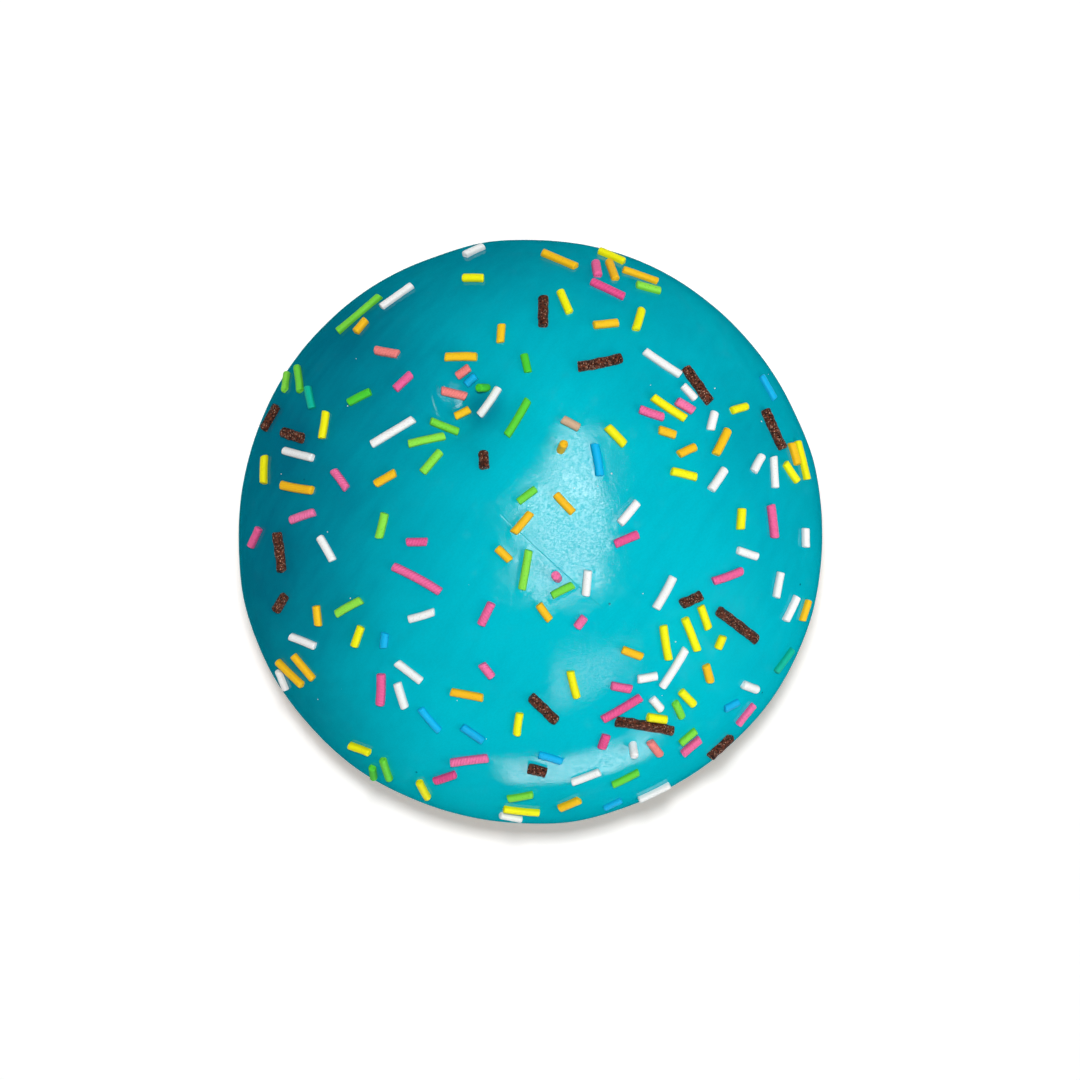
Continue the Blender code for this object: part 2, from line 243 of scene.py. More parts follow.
# The share of the cells of the skin that have a pit, and its hairline creases: from x, y to x, y in
# millimetres, seen from above
PITTED_SHARE = 0.16
SKIN_CREASES = (
    ((-3.9, 2.3), (3.2, -4.4)),
    ((3.2, -4.4), (10.2, -10.6)),
)

# Place of the doughnut in the photo, in pixels: side of the picture, width of the doughnut, its middle
PHOTO_SIDE = 1080
PHOTO_ACROSS = 583
PHOTO_MIDDLE = (530, 532.5)
# Lights, aimed at the top: name, place and sides in metres, the setting of their power, their share of it,
# and True where they show in gloss alone, False where they light surfaces alone
LIGHTS = (
    ("key", (0.0, 0.105, 0.90), (0.085, 0.085), "key", 1.0, False),
    ("fill", (0.62, -0.30, 0.50), (0.5, 0.5), "fill", 1.0, False),
    ("window", (0.132, -0.01, 1.20), (0.42, 0.50), "window", 3.4, True),
    ("upper_window", (0.200, 0.30, 1.15), (0.28, 0.22), "window", 1.0, True),
    ("far_window", (0.23, -1.08, 0.40), (0.74, 0.36), "window", 3.9, True),
    ("side_window", (0.27, -0.66, 1.05), (0.36, 0.26), "window", 0.55, True),
)
# The sky: what the camera sees, and what gloss does, a share of its strength above and a colour below.
# The horizon is soft, between two heights of a direction of length 1.
BACKDROP = (0.9, 0.9, 0.9)
GLOSS_SHARE = 0.05
# A turquoise that gloss alone sees below the horizon: a painted reflection that lightens the icing's rim.
PAINTED_RIM_REFLECTION = (0.0, 0.20, 0.25)
HORIZON = (-0.30, 0.10)

Strand = namedtuple("Strand", "kind foot head radius normal")


def linear(red, green, blue):
    """A colour seen on screen, 0 to 255 a channel, as the linear one that shaders take."""
    shares = (red / 255, green / 255, blue / 255)
    return tuple(s / 12.92 if s <= 0.04045 else ((s + 0.055) / 1.055) ** 2.4 for s in shares)


def colour(name, description, red, green, blue):
    return FloatVectorProperty(
        name=name,
        description=description,
        subtype="COLOR",
        size=3,
        min=0.0,
        max=1.0,
        default=linear(red, green, blue),
    )


def size(name, description, default, largest):
    """A length, given in millimetres and kept in metres."""
    return FloatProperty(
        name=name,
        description=description,
        default=default * MM,
        min=0.0,
        max=largest * MM,
        unit="LENGTH",
        precision=6,
    )


def number(name, description, default, largest, subtype="NONE"):
    return FloatProperty(
        name=name,
        description=description,
        default=default,
        min=0.0,
        max=largest,
        subtype=subtype,
    )


class DoughnutBun(bpy.types.PropertyGroup):
    """Colours and relief of the fried bun."""

    pale: colour("Waist band", "Dough round the side, which floated above the oil", 226, 186, 122)
    brown: colour("Browned crust", "Crust of the underside", 184, 122, 62)
    dark: colour("Darkest crust", "Where the crust browned most", 132, 76, 34)
    lumps: size("Lumps", "Height of the gentle lumps of the crust", 0.22, 1.0)
    blisters: size("Blisters", "Height of the small blisters of the underside", 0.20, 1.0)


class DoughnutIcing(bpy.types.PropertyGroup):
    """Colours and skin of the icing."""

    # The icing runs from bright to deep with painted shade, darker to the left, towards the rim and in the
    # dent, and with a random drift of tone.
    bright: colour("Icing", "The icing where it is thick", 0, 193, 210)
    deep: colour("Deep icing", "The icing where it is darker", 0, 116, 141)
    meniscus: size("Meniscus", "How far the icing climbs the side of a strand", 0.015, 1.0)
    roughness: number("Roughness", "Roughness of the set skin", 0.055, 1.0, "FACTOR")
    grain: size("Grain", "Depth of the sugar grain in the skin", 0.011, 0.2)


def sugar(name, red, green, blue):
    return colour(name, name + " sugar strands", red, green, blue)


class DoughnutStrands(bpy.types.PropertyGroup):
    """Colours of the sugar strands."""

    white: sugar("White", 243, 247, 245)
    yellow: sugar("Yellow", 247, 241, 8)
    orange: sugar("Orange", 255, 194, 26)
    pink: sugar("Pink", 240, 84, 148)
    pale_pink: sugar("Palest pink", 252, 126, 178)
    coral: sugar("Coral", 250, 134, 130)
    green: sugar("Green", 74, 212, 52)
    pale_green: sugar("Palest green", 152, 236, 76)
    teal: sugar("Teal", 0, 188, 158)
    chocolate: colour("Chocolate", "Chocolate strands", 84, 48, 36)
    toffee: sugar("Toffee", 206, 173, 142)
    blue: sugar("Blue", 0, 178, 232)
    rough_skin: size("Rough skin", "Height of the unevenness along a strand", 0.022, 0.2)


class DoughnutStudio(bpy.types.PropertyGroup):
    """The floor, the camera and the lights."""

    floor: colour("Floor", "The plain floor", 252, 252, 252)
    glow: number("Floor glow", "How much light the floor, a lit table, gives by itself", 0.27, 1.0)
    lens: number("Lens", "Focal length of the camera in millimetres", 150.0, 400.0)
    key: number("Key light", "Power of the light overhead, which casts the shadow", 5.05, 100.0, "POWER")
    fill: number("Fill light", "Power of the soft light from the front right", 2.25, 100.0, "POWER")
    window: number("Window light", "Power of the windows that shine on the icing", 1.04, 100.0, "POWER")
    sky: number("Sky", "Strength of the even light from all round", 0.20, 5.0)


class DoughnutSettings(bpy.types.PropertyGroup):
    """All the settings of the doughnut."""

    bun: PointerProperty(type=DoughnutBun, name="Bun", description="The fried bun")
    icing: PointerProperty(type=DoughnutIcing, name="Icing", description="The icing")
    strands: PointerProperty(type=DoughnutStrands, name="Strands", description="The sugar strands")
    studio: PointerProperty(type=DoughnutStudio, name="Studio", description="Floor, camera and lights")


def direction(turn, polar):
    return Vector((
        math.sin(polar) * math.cos(turn),
        math.sin(polar) * math.sin(turn),
        math.cos(polar),
    ))


def plain_reach(polar):
    """Distance from the middle to the bun's even outline, a superellipse."""
    rise = BUN_RISE if polar < math.pi / 2 else BUN_DROP
    across = abs(math.sin(polar)) / BUN_RADIUS
    upward = abs(math.cos(polar)) / rise
    return (across**SQUARENESS + upward**SQUARENESS) ** (-1 / SQUARENESS)


def bump_of(distance, width):
    return math.exp(-((distance / width) ** 2))


def bun_reach(turn, polar):
    """Distance from the middle to the bun's surface, with its swells, hollows and crease."""
    plain = plain_reach(polar)
    across = plain * math.sin(polar)
    x = across * math.cos(turn)
    y = across * math.sin(turn)
    swell = sum(share * math.cos(waves * (turn - crest * DEG)) for waves, share, crest in SWELLS)
    below = max(0.0, polar - math.pi / 2) / (REST_POLAR - math.pi / 2)
    calm = max(0.0, 1 - below**2)
    sink = CREASE_DEPTH * calm * bump_of(polar - CREASE_POLAR, CREASE_WIDTH)
    if polar < math.pi / 2:
        for hollow_x, hollow_y, radius, depth in HOLLOWS:
            away = math.hypot(x - hollow_x * MM, y - hollow_y * MM)
            sink += depth * MM * bump_of(away, radius * MM)
    return plain * (1 + swell * calm * math.sin(polar) ** 2) - sink


def drip_at(turn):
    """How far the drips bring the icing's edge down at a bearing, as an angle."""
    total = 0.0
    for bearing, further, width in DRIPS:
        apart = math.remainder(turn - bearing * DEG, 2 * math.pi)
        total += further * DEG * bump_of(apart, width * DEG)
    return total


def edge_polar(turn):
    """Polar of the icing's lower edge at a bearing."""
    wander = 1.1 * math.cos(2 * turn + 0.6) + 0.8 * math.cos(5 * turn - 1.3)
    return EDGE_POLAR + wander * DEG + drip_at(turn)


def icing_depth(turn, polar):
    """Thickness of the icing, fullest in the drips."""
    low = math.sin(polar) ** 4
    wave = 0.06 * math.cos(3 * turn + 1.0) + LIP_SWELL * (1 + drip_at(turn) / (8 * DEG))
    return ICING_THICK * (1 + low * wave) - ICING_THICK * LIP_SWELL * low


def icing_reach(turn, polar):
    """Distance from the middle to the icing's outer surface."""
    return bun_reach(turn, polar) + icing_depth(turn, polar)


def over_icing(point):
    """How far a point is outside the icing's surface, seen from the middle. It is below 0 inside."""
    out = point - MIDDLE
    polar = math.acos(max(-1.0, min(1.0, out.z / out.length)))
    return out.length - icing_reach(math.atan2(out.y, out.x), polar)


def icing_normal(point):
    step = 0.3 * MM
    slope = Vector()
    for axis in range(3):
        aside = Vector()
        aside[axis] = step
        slope[axis] = over_icing(point + aside) - over_icing(point - aside)
    return slope.normalized()


def icing_above(x, y):
    """The point of the icing above a place in plan."""
    low, high = WIDEST_AT, TALL + 2 * MM
    for _ in range(30):
        height = (low + high) / 2
        if over_icing(Vector((x, y, height))) > 0:
            high = height
        else:
            low = height
    return Vector((x, y, low))


def dropped(point, normal):
    """The point moved along the normal onto the icing."""
    return point - normal * over_icing(point)


def level_way(bearing, normal):
    """The direction of a bearing, tipped to run along the icing."""
    along = Vector((math.cos(bearing), math.sin(bearing), 0.0))
    return (along - normal * along.dot(normal)).normalized()


def lying_strand(kind, x, y, bearing, length, radius, sunk):
    """A strand that lies on the icing, its middle over x and y, sunk by a share of its thickness."""
    middle = icing_above(x, y)
    normal = icing_normal(middle)
    along = level_way(bearing, normal) * (length / 2)
    foot = dropped(middle - along, normal)
    head = dropped(middle + along, normal)
    sag = max(0.0, (middle - (foot + head) / 2).dot(normal))
    rise = normal * (radius * (1 - 2 * sunk) + 0.6 * sag)
    return Strand(kind, foot + rise, head + rise, radius, normal)


def standing_strand(kind, x, y, bearing, radius):
    """A strand that stuck into the icing with one end."""
    middle = icing_above(x, y)
    normal = icing_normal(middle)
    lean = level_way(bearing, normal) * math.cos(STANDING_PITCH) + normal * math.sin(STANDING_PITCH)
    foot = middle - lean * STANDING_SUNK
    return Strand(kind, foot, foot + lean * STANDING_LENGTH, radius, normal)


def nearest_shares(first, second):
    """Where two strands are nearest each other, as shares of their lengths."""
    a = first.head - first.foot
    b = second.head - second.foot
    gap = first.foot - second.foot
    aa, bb, ab = a.dot(a), b.dot(b), a.dot(b)
    a_gap, b_gap = a.dot(gap), b.dot(gap)
    spread = aa * bb - ab * ab
    s = 0.5 if spread < 1e-18 else max(0.0, min(1.0, (ab * b_gap - bb * a_gap) / spread))
    t = max(0.0, min(1.0, (ab * s + b_gap) / bb))
    s = max(0.0, min(1.0, (ab * t - a_gap) / aa))
    return s, t


def space_between(first, second):
    """The free space between two strands. It is below 0 where they cross."""
    reach = (first.head - first.foot).length + (second.head - second.foot).length
    apart = ((first.head + first.foot) - (second.head + second.foot)).length / 2
    thick = first.radius + second.radius
    if apart - reach / 2 - thick > 4 * MM:
        return apart
    s, t = nearest_shares(first, second)
    on_first = first.foot.lerp(first.head, s)
    on_second = second.foot.lerp(second.head, t)
    return (on_first - on_second).length - thick


def piled_strand(strand, under):
    """The strand tipped up so that it lies across another one, or None if it wouldn't stay there."""
    s, t = nearest_shares(strand, under)
    if not 0.3 < s < 0.7 or not 0.15 < t < 0.85:
        return None
    if s > 0.5:
        low, high, reach = strand.foot, strand.head, s
    else:
        low, high, reach = strand.head, strand.foot, 1 - s
    seat = strand.radius * (1 - 2 * PILED_SUNK)
    low = dropped(low, strand.normal) + strand.normal * seat
    crossing = low.lerp(high, reach)
    below = under.foot.lerp(under.head, t)
    needed = under.radius + strand.radius + HEAP_SPACE * 2 - (crossing - below).dot(strand.normal)
    tipped = high + strand.normal * (needed / reach)
    return Strand(strand.kind, low, tipped, strand.radius, strand.normal)


def settled(strand, others, space):
    """The strand where it comes to rest among the others, or None if it has no room."""
    crossed = [other for other in others if space_between(strand, other) < space]
    if not crossed:
        return strand
    length = (strand.head - strand.foot).length
    if len(crossed) > 1 or length < LEAST_PILED * MM:
        return None
    if space_between(strand, crossed[0]) > -strand.radius:
        return None
    piled = piled_strand(strand, crossed[0])
    if piled is None or any(space_between(piled, other) < HEAP_SPACE / 2 for other in others):
        return None
    return piled


def drawn_strand(draw, kind, x, y):
    """A strand of a drawn size and bearing at a place."""
    bearing = draw.uniform(0.0, math.pi)
    length = draw.triangular(SHORTEST, LONGEST, USUAL) * MM
    radius = KINDS[kind].radius * MM * (1 + draw.uniform(-SIZE_SPREAD, SIZE_SPREAD))
    sunk = COATED_SHARE if kind == "blue" else SUNK_SHARE
    return lying_strand(kind, x, y, bearing, length, radius, sunk)


def heap_place(draw, heap):
    return (
        draw.gauss(heap[0], heap[2] / 2) * MM,
        draw.gauss(heap[1], heap[2] / 2) * MM,
    )


def loose_place(draw):
    """A place in plan, anywhere but in a bare patch."""
    while True:
        x = draw.uniform(-1, 1) * SCATTER_REACH
        y = draw.uniform(-1, 1) * SCATTER_REACH
        if math.hypot(x, y) > SCATTER_REACH:
            continue
        if all(math.hypot(x - px * MM, y - py * MM) > size * MM for px, py, size in BARE_PATCHES):
            return x, y


def lay_one(draw, kind, strands, place, space):
    """Adds a strand of a kind at the first of the drawn places that has room for it."""
    for _ in range(TRIES):
        x, y = place()
        if math.hypot(x, y) > SCATTER_REACH:
            continue
        laid = settled(drawn_strand(draw, kind, x, y), strands, space)
        if laid:
            strands.append(laid)
            return


def scattered_strands():
    """All the strands: the long ones, those that stand on end, the heaps, and then the loose ones."""
    draw = random.Random(SCATTER_SEED)
    strands = []
    for kind, x, y, bearing, length in LONG_STRANDS:
        radius = KINDS[kind].radius * MM
        laid = lying_strand(kind, x * MM, y * MM, bearing * DEG, length * MM, radius, SUNK_SHARE)
        strands.append(laid)
    for kind, x, y, bearing in STANDING_STRANDS:
        radius = KINDS[kind].radius * MM
        strands.append(standing_strand(kind, x * MM, y * MM, bearing * DEG, radius))
    for heap in HEAPS:
        for kind in heap[3].split():
            lay_one(draw, kind, strands, partial(heap_place, draw, heap), HEAP_SPACE)
    placed = Counter(strand.kind for strand in strands)
    loose = [kind for kind in KINDS for _ in range(KINDS[kind].count - placed[kind])]
    draw.shuffle(loose)
    for kind in loose:
        lay_one(draw, kind, strands, partial(loose_place, draw), LOOSE_SPACE)
    return strands


class Nodes:
    """A node tree under construction, with short ways to add and link nodes."""

    def __init__(self, tree, coordinates):
        self.tree = tree
        self.place = self.node("ShaderNodeTexCoord").outputs[coordinates]

    def node(self, kind, inputs=None, **settings):
        """Adds a node with its settings and what feeds its inputs, by name or number."""
        made = self.tree.nodes.new(kind)
        for name, value in settings.items():
            setattr(made, name, value)
        for name, value in (inputs or {}).items():
            self.feed(made.inputs[name], value)
        return made

    def feed(self, socket, value):
        """Links a socket to another one's output, or sets its value."""
        if isinstance(value, bpy.types.NodeSocket):
            self.tree.links.new(value, socket)
        elif socket.type == "RGBA":
            socket.default_value = (*value, 1.0)
        else:
            socket.default_value = value

    def noise(self, size, detail=2.0, rough=0.5, place=None):
        """Smooth noise from 0 to 1 with features about size metres across."""
        inputs = {"Vector": place or self.place, "Scale": 1 / size, "Detail": detail, "Roughness": rough}
        return self.node("ShaderNodeTexNoise", inputs).outputs["Fac"]

    def cells(self, size):
        """Distance and Color of scattered cells about size metres across."""
        return self.node("ShaderNodeTexVoronoi", {"Vector": self.place, "Scale": 1 / size}).outputs

    def math(self, operation, first, second=0.0, clamp=False):
        inputs = {0: first, 1: second}
        return self.node("ShaderNodeMath", inputs, operation=operation, use_clamp=clamp).outputs[0]

    def swing(self, value, width):
        """A value from 0 to 1 made to swing round 0, over a width."""
        return self.math("MULTIPLY", self.math("SUBTRACT", value, 0.5), width)

    def ramp(self, value, low, high, to_low=0.0, to_high=1.0, kind="SMOOTHSTEP"):
        """A value carried from the range low to high onto another range, and held at its ends."""
        inputs = dict(enumerate((value, low, high, to_low, to_high)))
        return self.node("ShaderNodeMapRange", inputs, interpolation_type=kind).outputs[0]

    def blend(self, share, first, second):
        inputs = {"Factor": share, "A": first, "B": second}
        return self.node("ShaderNodeMix", inputs, data_type="RGBA").outputs["Result"]

    def height(self):
        """How high each point lies."""
        return self.node("ShaderNodeSeparateXYZ", {0: self.place}).outputs["Z"]


class Finish(Nodes):
    """A material under construction, patterned by the place of each point on its piece."""

    def __init__(self, name):
        self.material = bpy.data.materials.new(name)
        self.material.use_nodes = True
        super().__init__(self.material.node_tree, "Object")
        self.shader = self.tree.nodes["Principled BSDF"]

    def set(self, **sockets):
        """Feeds sockets of the shader, named with _ for each space."""
        for name, value in sockets.items():
            self.feed(self.shader.inputs[name.replace("_", " ")], value)

    def relief(self, height, distance, strength=1.0, under=None):
        """Fine relief on the normal, distance metres high where the height is 1."""
        inputs = {"Height": height, "Distance": distance, "Strength": strength}
        if under:
            inputs["Normal"] = under
        return self.node("ShaderNodeBump", inputs).outputs["Normal"]

    def along(self, way):
        """How far each point lies along a direction."""
        made = self.node("ShaderNodeVectorMath", {0: self.place, 1: way}, operation="DOT_PRODUCT")
        return made.outputs["Value"]

    def distance_from(self, spot):
        """How far each point lies from the icing above a spot, given by its x and y in millimetres."""
        middle = icing_above(spot[0] * MM, spot[1] * MM)
        made = self.node("ShaderNodeVectorMath", {0: self.place, 1: middle}, operation="DISTANCE")
        return made.outputs["Value"]

    def stretched(self, bearing, times):
        """The place on the piece squeezed along a bearing, which draws patterns out along it."""
        inputs = {"Vector": self.place, "Rotation": (0.0, 0.0, -bearing)}
        turned = self.node("ShaderNodeMapping", inputs).outputs["Vector"]
        inputs = {"Vector": turned, "Scale": (1 / times, 1.0, 1.0)}
        return self.node("ShaderNodeMapping", inputs).outputs["Vector"]

    def run_map(self):
        """The UV map of the strands: turns round a strand, and millimetres along it."""
        place = self.node("ShaderNodeUVMap", uv_map="run").outputs["UV"]
        split = self.node("ShaderNodeSeparateXYZ", {0: place}).outputs
        return split["X"], split["Y"]

    def each_strand(self):
        """A value from 0 to 1 of its own for each strand."""
        along = self.math("ADD", self.run_map()[1], RUN_STEP / 2)
        which = self.math("FLOOR", self.math("DIVIDE", along, RUN_STEP))
        return self.node("ShaderNodeTexWhiteNoise", {"W": which}, noise_dimensions="1D").outputs["Value"]


def hairline(finish, start, end, width):
    """1 on a straight line drawn over the skin from start to end, seen from above, and 0 off it."""
    run = Vector((end[0] - start[0], end[1] - start[1], 0.0)) * MM
    way = run.normalized()
    across = Vector((-way.y, way.x, 0.0))
    begin = Vector((start[0], start[1], 0.0)) * MM
    wander = finish.math("MULTIPLY", finish.noise(1.6 * MM), 0.25 * MM)
    aside = finish.math("SUBTRACT", finish.along(across), begin.dot(across) + 0.12 * MM)
    aside = finish.math("ABSOLUTE", finish.math("ADD", aside, wander))
    near = finish.ramp(aside, 0.0, width, 1.0, 0.0)
    travel = finish.math("SUBTRACT", finish.along(way), begin.dot(way))
    enters = finish.ramp(travel, -0.4 * MM, 0.4 * MM)
    leaves = finish.ramp(travel, run.length - 0.4 * MM, run.length + 0.4 * MM, 1.0, 0.0)
    upward = finish.ramp(finish.height(), WIDEST_AT, WIDEST_AT + MM)
    for share in (enters, leaves, upward):
        near = finish.math("MULTIPLY", near, share)
    return near


def crust_finish(bun):
    """Fried dough: a pale band round the side, browned below, with a slight sheen of oil."""
    finish = Finish("fried_crust")
    height = finish.math("ADD", finish.height(), finish.swing(finish.noise(9 * MM, 3.0), 5.5 * MM))
    mottle = finish.ramp(finish.noise(2.4 * MM, 4.0, 0.6), 0.36, 0.72)
    browned = finish.blend(mottle, bun.brown, bun.dark)
    browned = finish.blend(finish.ramp(height, 0.5 * MM, 6.5 * MM, 0.0, 0.75), browned, bun.brown)
    tone = finish.blend(finish.ramp(height, 6.4 * MM, 10.4 * MM), browned, bun.pale)
    tanned = finish.ramp(finish.noise(3.2 * MM, 4.0, 0.65), 0.46, 0.78, 0.0, 0.45)
    finish.set(Base_Color=finish.blend(tanned, tone, bun.brown))
    finish.set(Roughness=finish.ramp(finish.noise(1.5 * MM, 3.0), 0.25, 0.75, 0.42, 0.66))
    finish.set(Specular_IOR_Level=0.4, Subsurface_Weight=0.12, Subsurface_Scale=0.8 * MM)
    finish.set(Subsurface_Radius=(1.0, 0.5, 0.25))
    pores = finish.ramp(finish.cells(0.55 * MM)["Distance"], 0.0, 0.45)
    normal = finish.relief(finish.noise(0.9 * MM, 5.0, 0.62), 0.16 * MM, 0.9)
    finish.set(Normal=finish.relief(pores, 0.035 * MM, 0.8, normal))
    return finish.material


def icing_finish(icing):
    """Set sugar icing: a satin turquoise skin with a fine grain, a few pits and hairline creases, and painted
    shade: darker to the left, towards the east rim, in the dent, and in the pits and creases.
    """
    finish = Finish("turquoise_icing")
    # Painted shade: the icing darker towards the left, where less light falls, and towards the east rim.
    shade = finish.ramp(finish.along((-0.94, 0.34, 0.0)), -2 * MM, 40 * MM)
    beyond = finish.ramp(finish.along((0.79, 0.62, 0.0)), 8 * MM, 40 * MM, 0.0, 0.45)
    # Painted shade on the dent's wall, darkest round one spot and fading out over a few millimetres.
    dent_shade = finish.ramp(finish.distance_from(DENT_SHADE_SPOT), 0.5 * MM, 4.5 * MM, 0.42, 0.0)
    streaks = finish.noise(1.5 * MM, 2.0, 0.5, finish.stretched(52 * DEG, 6.0))
    # The painted shade of the rim and the dent add to it, and so do random streaks of tone.
    for shade_and_tone_part in (beyond, dent_shade, finish.swing(streaks, 0.22)):
        shade = finish.math("ADD", shade, shade_and_tone_part)
    shade = finish.math("ADD", shade, finish.swing(finish.noise(17 * MM, 2.0), 0.5), clamp=True)
    tone = finish.blend(shade, icing.bright, icing.deep)
    pits = finish.cells(5.5 * MM)
    chosen = finish.node("ShaderNodeSeparateColor", {0: pits["Color"]}).outputs[0]
    pit = finish.ramp(pits["Distance"], 0.022, 0.042, 1.0, 0.0)
    pit = finish.math("MULTIPLY", pit, finish.math("LESS_THAN", chosen, PITTED_SHARE))
    creased = 0.0
    for start, end in SKIN_CREASES:
        creased = finish.math("MAXIMUM", hairline(finish, start, end, 0.17 * MM), creased)
    # Painted shade: the hairline creases a little darker and the pits much darker, towards a near-black teal.
    dark = finish.math("MAXIMUM", finish.math("MULTIPLY", creased, 0.12), finish.math("MULTIPLY", pit, 0.8))
    finish.set(Base_Color=finish.blend(dark, tone, (0.0, 0.07, 0.12)))
    smear = finish.ramp(finish.noise(2.6 * MM, 3.0, 0.6), 0.50, 0.72, 0.0, 0.10)
    finish.set(Roughness=finish.math("ADD", smear, icing.roughness))
    finish.set(Subsurface_Weight=0.10, Subsurface_Scale=0.6 * MM, Subsurface_Radius=(0.1, 0.6, 0.9))
    frosting = finish.noise(0.19 * MM, 1.0, 0.5, finish.stretched(38 * DEG, 2.0))
    gloss = finish.ramp(frosting, 0.36, 0.64, 0.24, 0.80)
    dulled = finish.ramp(finish.distance_from(DULL_PATCH), 1.3 * MM, 2.8 * MM, 0.22, 1.0)
    finish.set(Specular_IOR_Level=finish.math("MULTIPLY", gloss, dulled))
    normal = finish.relief(finish.noise(0.21 * MM, 1.0), icing.grain)
    normal = finish.relief(finish.noise(1.1 * MM), 0.007 * MM, 1.0, normal)
    sunk = finish.math("SUBTRACT", 1.0, finish.math("MAXIMUM", creased, pit))
    finish.set(Normal=finish.relief(sunk, 0.016 * MM, 1.0, normal))
    return finish.material


def lighter(tint, share):
    return tuple(min(1.0, channel * (1 + share)) for channel in tint)


def darker(tint, share):
    return tuple(channel * (1 - share) for channel in tint)


def sugar_finish(name, tint, palest=None, ribs=0.0):
    """Pressed sugar, matt with a fine grain, each strand of its own tint between two and with painted shade
    down its sides.

    Without a palest tint it is plain sugar, for pieces that have no run map. Ribs is the depth of the
    rings across a strand, in metres.
    """
    finish = Finish("sugar_" + name)
    own = tint
    if palest:
        aside = finish.math("ABSOLUTE", finish.math("SUBTRACT", finish.run_map()[0], 0.25))
        own = finish.blend(finish.each_strand(), tint, palest)
        # Painted shade: each strand darker down its sides, where it meets the icing.
        own = finish.blend(finish.ramp(aside, 0.13, 0.25, 0.0, 0.55), own, darker(tint, 0.5))
    worn = finish.ramp(finish.noise(0.22 * MM), 0.55, 0.80, 0.0, 0.8)
    finish.set(Base_Color=finish.blend(worn, own, darker(tint, 0.25)))
    finish.set(Roughness=finish.ramp(finish.noise(0.6 * MM), 0.3, 0.7, 0.42, 0.60))
    finish.set(Specular_IOR_Level=0.25, Subsurface_Weight=0.12, Subsurface_Scale=0.30 * MM)
    finish.set(Subsurface_Radius=(1.0, 0.9, 0.8))
    normal = finish.relief(finish.noise(0.20 * MM, 4.0, 0.65), 0.03 * MM, 0.9)
    if ribs:
        around, along = finish.run_map()
        slanted = finish.math("ADD", along, finish.math("MULTIPLY", around, 1.6))
        place = finish.node("ShaderNodeCombineXYZ", {"Y": slanted}).outputs["Vector"]
        inputs = {"Vector": place, "Scale": 0.72, "Distortion": 2.6, "Detail": 2.0}
        rings = finish.node("ShaderNodeTexWave", inputs, wave_type="BANDS", bands_direction="Y")
        normal = finish.relief(rings.outputs["Fac"], ribs, 0.9, normal)
    finish.set(Normal=normal)
    return finish.material


def chocolate_finish(tint):
    """Rough reddish chocolate, crumbly all over, with painted shade in its clefts and painted highlights as
    fine pale glints.
    """
    finish = Finish("crumbly_chocolate")
    crumbs = finish.cells(0.17 * MM)
    each = finish.node("ShaderNodeSeparateColor", {0: crumbs["Color"]}).outputs
    reddish = (tint[0] * 2.4 + 0.02, tint[1] * 1.7 + 0.005, tint[2] * 1.3)
    tone = finish.blend(finish.ramp(each[1], 0.2, 0.9), tint, reddish)
    # Painted shade: the clefts of the relief darkened.
    cleft = finish.ramp(finish.noise(0.30 * MM, 3.0, 0.7), 0.48, 0.62)
    tone = finish.blend(cleft, tone, darker(tint, 0.8))
    core = finish.ramp(crumbs["Distance"], 0.15, 0.6, 1.0, 0.0)
    # Painted highlights: pale glints in a few crumbs.
    painted_glint = finish.math("MULTIPLY", finish.math("GREATER_THAN", each[0], 0.80), core)
    finish.set(Base_Color=finish.blend(painted_glint, tone, linear(240, 190, 160)))
    finish.set(Roughness=finish.ramp(each[2], 0.0, 1.0, 0.30, 0.7), Specular_IOR_Level=0.3)
    normal = finish.relief(crumbs["Distance"], 0.12 * MM)
    deep = finish.math("SUBTRACT", 1.0, cleft)
    finish.set(Normal=finish.relief(deep, 0.12 * MM, 1.0, normal))
    return finish.material


def floor_finish(tint, glow):
    """Smooth matt board that glows a little, as a lit table does."""
    finish = Finish("matt_board")
    finish.set(Emission_Strength=glow, Emission_Color=(1.0, 1.0, 1.0))
    tone = tuple(channel * 0.985 for channel in tint)
    finish.set(Base_Color=finish.blend(finish.noise(30 * MM, 3.0), tint, tone), Roughness=0.85)
    finish.set(Specular_IOR_Level=0.1)
    finish.set(Normal=finish.relief(finish.noise(0.7 * MM, 3.0), 0.02 * MM, 0.3))
    return finish.material


def even_ball(name, cells):
    """A ball of even square cells with no poles, its points 1 metre from its middle."""
    bpy.ops.mesh.primitive_cube_add(size=2.0)
    ball = bpy.context.active_object
    ball.name = name
    ball.data.name = name
    bpy.ops.object.mode_set(mode="EDIT")
    bpy.ops.mesh.select_all(action="SELECT")
    for parts in cells:
        bpy.ops.mesh.subdivide(number_cuts=parts - 1)
    bpy.ops.object.mode_set(mode="OBJECT")
    for vert in ball.data.vertices:
        vert.co = Vector([math.tan(side * math.pi / 4) for side in vert.co]).normalized()
    return ball


def place_of(out):
    """Turn and polar of a direction."""
    return math.atan2(out.y, out.x), math.acos(max(-1.0, min(1.0, out.z)))


def finished(piece, material, node):
    """Gives a piece smooth shading, its material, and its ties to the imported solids."""
    piece.data.materials.clear()
    piece.data.materials.append(material)
    piece.data.shade_smooth()
    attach(piece, "root")
    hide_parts(node)


